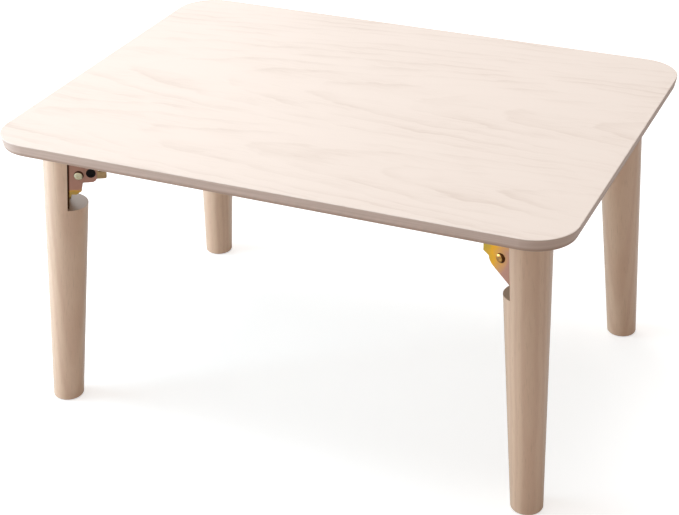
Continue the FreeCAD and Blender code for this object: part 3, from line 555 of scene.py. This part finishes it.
# Black moulded acetal: smooth and nearly without a sheen
def moulded_acetal(look):
    material, tree, shader = start_material("moulded_acetal")
    spot = add_node(tree, "ShaderNodeTexCoord").outputs["Object"]
    close = add_node(tree, "ShaderNodeVectorMath", DIVIDE, {0: spot, 1: millimetres(0.8, 0.8, 0.8)})
    skin = add_node(tree, "ShaderNodeTexNoise", inputs={
        "Vector": close.outputs["Vector"], "Scale": 1.0, "Detail": 2.0})
    tint = add_node(tree, "ShaderNodeValToRGB", inputs={0: skin.outputs["Fac"]},
                    stops=((0.4, look.bush), (0.7, [2 * c for c in look.bush])))
    tree.links.new(tint.outputs["Color"], shader.inputs["Base Color"])
    shader.inputs["Roughness"].default_value = 0.3
    shader.inputs["Specular IOR Level"].default_value = 0.12
    return material


# New pieces
# Corners closer than this are merged
MERGE = 0.002 * MM


def new_piece(name, bm, material):
    """Closes a bmesh, turns its faces outward and puts it in the scene as a smooth piece."""
    bmesh.ops.remove_doubles(bm, verts=bm.verts, dist=MERGE)
    bmesh.ops.recalc_face_normals(bm, faces=bm.faces)
    for face in bm.faces:
        face.smooth = True
    mesh = bpy.data.meshes.new(name)
    bm.to_mesh(mesh)
    bm.free()
    mesh.materials.append(material)
    piece = bpy.data.objects.new(name, mesh)
    bpy.context.scene.collection.objects.link(piece)
    return piece


def ring_at(bm, height):
    """Edges of a turned piece that run round it at one height."""
    return [edge for edge in bm.edges
            if all(abs(end.co.z - height) < 0.01 * MM for end in edge.verts)]


def turned_rivet(bm, look, place):
    """Spins one rivet about Z, domes its head and rounds its rims, and puts it in its hole."""
    earlier = set(bm.verts)
    # Outer face of the cheek and inner face of the ear, then the radii of the shank and the tail
    cheek, ear, shank, tail = millimetres(22.0, 18.5, 3.0, 4.3)
    head, high = look.rivet_radius, look.rivet_height
    crown, dish, rim = cheek + high, cheek + 0.8 * high, cheek + 0.28 * high
    closed = ear - 1.1 * MM
    outline = [(0, dish), (0.26 * head, dish), (0.44 * head, crown), (head, rim), (head, cheek),
               (shank, cheek), (shank, ear), (tail, ear), (tail, closed), (0, closed)]
    line = [bm.verts.new((radius, 0, height)) for radius, height in outline]
    edges = [bm.edges.new(pair) for pair in zip(line, line[1:])]
    bmesh.ops.spin(bm, geom=line + edges, cent=(0, 0, 0), axis=(0, 0, 1), angle=math.tau,
                   steps=40, use_merge=True)
    bmesh.ops.remove_doubles(bm, verts=[v for v in bm.verts if v not in earlier], dist=MERGE)
    for height, width, steps in ((crown, 0.6, 4), (rim, 0.45, 3), (closed, 0.4, 2)):
        bmesh.ops.bevel(bm, geom=ring_at(bm, height), offset=width * MM, segments=steps,
                        profile=0.5, affect="EDGES", material=-1)
    bmesh.ops.transform(bm, matrix=place, verts=[v for v in bm.verts if v not in earlier])


def wound_spring(bm, look, low, high):
    """Winds a compression spring up the Z axis, with one closed turn at each end."""
    steps = 28  # straight lengths in one turn
    wire = look.wire_radius
    # Rise of a closed turn, which just clears the next one, and of an open turn
    closed = 2.1 * wire
    opened = (high - low - 2 * wire - 2 * closed) / look.open_turns
    upright = Matrix.Rotation(math.radians(90), 4, "X")
    section = Matrix.Translation((look.coil_radius, 0, low + wire)) @ upright
    bmesh.ops.create_circle(bm, cap_ends=True, segments=10, radius=wire, matrix=section)
    last = bm.verts[:] + bm.edges[:] + bm.faces[:]
    for turns, pitch in ((1, closed), (look.open_turns, opened), (1, closed)):
        wound = bmesh.ops.spin(bm, geom=last, cent=(0, 0, 0), axis=(0, 0, 1),
                               dvec=(0, 0, pitch / steps), angle=math.tau * turns,
                               steps=steps * turns)
        last = wound["geom_last"]


class LOWTABLE_OT_tabletop(Operator):
    """Finish the three layers of the tabletop."""
    bl_idname = "low_table.tabletop"
    bl_label = "Finish the tabletop"

    def execute(self, context):
        look = context.scene.low_table_top
        finish_node("top_veneer", white_washed_ash(look))
        finish_node("panel_core", lacquered_edge(look))
        finish_node("underside_veneer", underside_foil(look))
        return {"FINISHED"}


class LOWTABLE_OT_legs(Operator):
    """Finish the four legs, each with its grain along its own axis."""
    bl_idname = "low_table.legs"
    bl_label = "Finish the legs"

    def execute(self, context):
        for corner in CORNERS:
            finish_node("leg_" + corner, lacquered_rubberwood(context.scene.low_table_leg, corner))
        return {"FINISHED"}


class LOWTABLE_OT_brackets(Operator):
    """Finish the sheet brackets of the top and of the legs."""
    bl_idname = "low_table.brackets"
    bl_label = "Finish the brackets"

    def execute(self, context):
        look = context.scene.low_table_hardware
        for corner in CORNERS:
            fixed = passivated_sheet(look, "passivated_ear_sheet", corner, pivot_frame(corner))
            finish_node("table_bracket_" + corner, fixed)
            turning = passivated_sheet(look, "passivated_cheek_sheet", corner, fork_frame(corner))
            finish_node("leg_bracket_" + corner, turning)
        return {"FINISHED"}


class LOWTABLE_OT_levers(Operator):
    """Finish the levers and their bushes."""
    bl_idname = "low_table.levers"
    bl_label = "Finish the levers"

    def execute(self, context):
        look = context.scene.low_table_hardware
        sheet = plated_steel("olive_passivated_lever", look.lever, 0.38)
        bush = moulded_acetal(look)
        for corner in CORNERS:
            finish_node("lock_lever_" + corner, sheet)
            finish_node("lever_bush_" + corner, bush)
        return {"FINISHED"}


class LOWTABLE_OT_springs(Operator):
    """Wind the springs above the levers."""
    bl_idname = "low_table.springs"
    bl_label = "Wind the springs"

    def execute(self, context):
        look = context.scene.low_table_hardware
        steel = plated_steel("drawn_spring_wire", look.wire, 0.28)
        for corner in CORNERS:
            low, high = (Vector(end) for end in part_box("lever_spring_" + corner))
            bm = bmesh.new()
            wound_spring(bm, look, low.z, high.z)
            middle = (low + high) / 2
            bmesh.ops.translate(bm, verts=bm.verts, vec=(middle.x, middle.y, 0))
            piece = new_piece("wound_spring_" + corner, bm, steel)
            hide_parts("lever_spring_" + corner)
            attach(piece, "table_top")
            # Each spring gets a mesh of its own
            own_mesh(piece)
        return {"FINISHED"}


class LOWTABLE_OT_rivets(Operator):
    """Make the pivot rivets with domed heads, two at each corner."""
    bl_idname = "low_table.rivets"
    bl_label = "Make the rivets"

    def execute(self, context):
        look = context.scene.low_table_hardware
        for corner in CORNERS:
            bm = bmesh.new()
            for quarter in (90, -90):
                turn = Matrix.Rotation(math.radians(quarter), 4, "X")
                turned_rivet(bm, look, pivot_frame(corner) @ turn)
            piece = new_piece("domed_rivets_" + corner, bm, headed_steel(look, corner))
            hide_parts("pivot_rivets_" + corner)
            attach(piece, "table_top")
        return {"FINISHED"}


class LOWTABLE_OT_screws(Operator):
    """Finish the wood screws."""
    bl_idname = "low_table.screws"
    bl_label = "Finish the screws"

    def execute(self, context):
        steel = plated_steel("yellow_zinc_screw", context.scene.low_table_hardware.screw, 0.34)
        for corner in CORNERS:
            finish_node("leg_screws_" + corner, steel)
            finish_node("top_screws_" + corner, steel)
        return {"FINISHED"}


# Studio
# How far the floor reaches and how far it lies below the soles, and the distances from the middle
# between which it turns plain white, in metres
FLOOR_REACH, FLOOR_DROP = 8, 0.3 * MM
WHITER_FROM, WHITER_TO = 0.6, 1.8


def studio_floor(look):
    """Matte pale paper, white to the camera round the shadow and a backdrop farther off."""
    bm = bmesh.new()
    bmesh.ops.create_grid(bm, x_segments=1, y_segments=1, size=FLOOR_REACH,
                          matrix=Matrix.Translation((0, 0, -FLOOR_DROP)))
    mesh = bpy.data.meshes.new("studio_floor")
    bm.to_mesh(mesh)
    bm.free()
    floor = bpy.data.objects.new("studio_floor", mesh)
    bpy.context.scene.collection.objects.link(floor)
    material = bpy.data.materials.new("matte_white_paper")
    material.use_nodes = True
    tree = material.node_tree
    tree.nodes.clear()
    seen = add_node(tree, "ShaderNodeLightPath")
    paper = add_node(tree, "ShaderNodeBsdfDiffuse", inputs={"Color": look.floor})
    source = add_node(tree, "ShaderNodeTexCoord")
    distance = add_node(tree, "ShaderNodeVectorMath", {"operation": "LENGTH"}, {
        0: source.outputs["Object"]})
    whiter = add_node(tree, "ShaderNodeMapRange", SMOOTH, {
        "Value": distance.outputs["Value"], "From Min": WHITER_FROM, "From Max": WHITER_TO,
        "To Min": look.floor_glow, "To Max": 1.0})
    glow = add_node(tree, "ShaderNodeEmission", inputs={
        "Color": grey(1), "Strength": whiter.outputs["Result"]})
    both = add_node(tree, "ShaderNodeAddShader", inputs={0: paper.outputs[0], 1: glow.outputs[0]})
    lit = add_node(tree, "ShaderNodeMixShader", inputs={
        0: seen.outputs["Is Camera Ray"], 1: paper.outputs[0], 2: both.outputs[0]})
    add_node(tree, "ShaderNodeOutputMaterial", inputs={"Surface": lit.outputs[0]})
    mesh.materials.append(material)


def studio_world(look):
    """Even warm fill from all round, and a white backdrop for the camera and for reflections."""
    world = bpy.data.worlds.new("studio")
    bpy.context.scene.world = world
    world.use_nodes = True
    tree = world.node_tree
    tree.nodes.clear()
    seen = add_node(tree, "ShaderNodeLightPath")
    direct = add_node(tree, "ShaderNodeMath", {"operation": "MAXIMUM"},
                      {0: seen.outputs["Is Camera Ray"], 1: seen.outputs["Is Transmission Ray"]})
    shown = add_node(tree, "ShaderNodeMath", {"operation": "MAXIMUM"},
                     {0: direct.outputs[0], 1: seen.outputs["Is Glossy Ray"]})
    level = add_node(tree, "ShaderNodeMapRange", inputs={
        "Value": shown.outputs[0], "To Min": look.fill, "To Max": 1.0})
    tint = add_node(tree, "ShaderNodeMix", BLEND, {
        0: shown.outputs[0], 6: look.fill_tint, 7: grey(1)})
    backdrop = add_node(tree, "ShaderNodeBackground", inputs={
        "Color": tint.outputs[2], "Strength": level.outputs["Result"]})
    add_node(tree, "ShaderNodeOutputWorld", inputs={"Surface": backdrop.outputs[0]})


# Each lamp's place, width and height in metres and its tint; its power is a setting of the studio
LAMPS = {
    "side": ((-1.6, -0.6, 0.55), 1.0, 0.8, (0.68, 0.88, 1)),
    "front": ((-1.1, -1.2, 0.8), 1.0, 1.0, (1, 1, 1)),
    "back": ((-1.5, 1.5, 1.1), 1.4, 1.0, (1, 1, 1)),
    "top": ((-0.2, 0.1, 2.2), 1.6, 1.6, (0.97, 0.99, 1)),
}
LAMP_TARGET = Vector((0, 0, 0.2))


def soft_lamp(name, place, width, height, watts, tint):
    """A large rectangular lamp that faces the table."""
    lamp = bpy.data.lights.new(name, "AREA")
    lamp.shape = "RECTANGLE"
    lamp.size = width
    lamp.size_y = height
    lamp.energy = watts
    lamp.color = tint
    holder = bpy.data.objects.new(name, lamp)
    bpy.context.scene.collection.objects.link(holder)
    aim = (LAMP_TARGET - Vector(place)).to_track_quat("-Z", "Y").to_matrix().to_4x4()
    holder.matrix_world = Matrix.Translation(place) @ aim


# The camera, fitted to the outline of the top and the feet: its place in metres, its turn, drop and
# roll in degrees, and its lens and sensor in millimetres
CAMERA_PLACE = (0.6129074, -1.4020757, 0.9760597)
CAMERA_ANGLES = (24.106, 28.8412, -0.9341)
CAMERA_LENS = 84.58
SENSOR_WIDTH = 36


def photo_camera():
    """A long lens to the right of the table and above it, rolled a little."""
    turn, drop, roll = (math.radians(angle) for angle in CAMERA_ANGLES)
    back = Vector((math.sin(turn) * math.cos(drop), -math.cos(turn) * math.cos(drop),
                   math.sin(drop)))
    level = Vector((math.cos(turn), math.sin(turn), 0))
    upright = back.cross(level)
    right = math.cos(roll) * level + math.sin(roll) * upright
    up = math.cos(roll) * upright - math.sin(roll) * level
    lens = bpy.data.cameras.new("photo_camera")
    lens.sensor_width = SENSOR_WIDTH
    lens.lens = CAMERA_LENS
    lens.clip_start = 0.01
    camera = bpy.data.objects.new("photo_camera", lens)
    bpy.context.scene.collection.objects.link(camera)
    aim = Matrix((right, up, back)).transposed().to_4x4()
    camera.matrix_world = Matrix.Translation(CAMERA_PLACE) @ aim
    bpy.context.scene.camera = camera


class LOWTABLE_OT_studio(Operator):
    """Set up the floor, the backdrop, the lamps and the camera."""
    bl_idname = "low_table.studio"
    bl_label = "Set up the studio"

    def execute(self, context):
        look = context.scene.low_table_studio
        studio_floor(look)
        studio_world(look)
        for name, (place, width, height, tint) in LAMPS.items():
            watts = getattr(look, name + "_power")
            soft_lamp(name + "_light", place, width, height, watts, tint)
        photo_camera()
        context.scene.view_settings.view_transform = "Standard"
        return {"FINISHED"}


STEPS = (
    LOWTABLE_OT_tabletop,
    LOWTABLE_OT_legs,
    LOWTABLE_OT_brackets,
    LOWTABLE_OT_levers,
    LOWTABLE_OT_springs,
    LOWTABLE_OT_rivets,
    LOWTABLE_OT_screws,
    LOWTABLE_OT_studio,
)


class LOWTABLE_PT_sidebar(Panel):
    """Sizes, colours and steps of the low table."""
    bl_idname = "LOWTABLE_PT_sidebar"
    bl_label = "Low Table"
    bl_space_type = "VIEW_3D"
    bl_region_type = "UI"
    bl_category = "Low Table"

    def draw(self, context):
        for name, look in LOOKS.items():
            box = self.layout.box()
            for field in look.__annotations__:
                box.prop(getattr(context.scene, name), field)
        for step in STEPS:
            self.layout.operator(step.bl_idname)


def register():
    for name, look in LOOKS.items():
        bpy.utils.register_class(look)
        setattr(bpy.types.Scene, name, PointerProperty(type=look))
    for item in (*STEPS, LOWTABLE_PT_sidebar):
        bpy.utils.register_class(item)


def unregister():
    for item in (LOWTABLE_PT_sidebar, *reversed(STEPS)):
        bpy.utils.unregister_class(item)
    for name, look in LOOKS.items():
        delattr(bpy.types.Scene, name)
        bpy.utils.unregister_class(look)


def main():
    register()
    for step in STEPS:
        group, name = step.bl_idname.split(".")
        getattr(getattr(bpy.ops, group), name)()


if __name__ == "__main__":
    main()
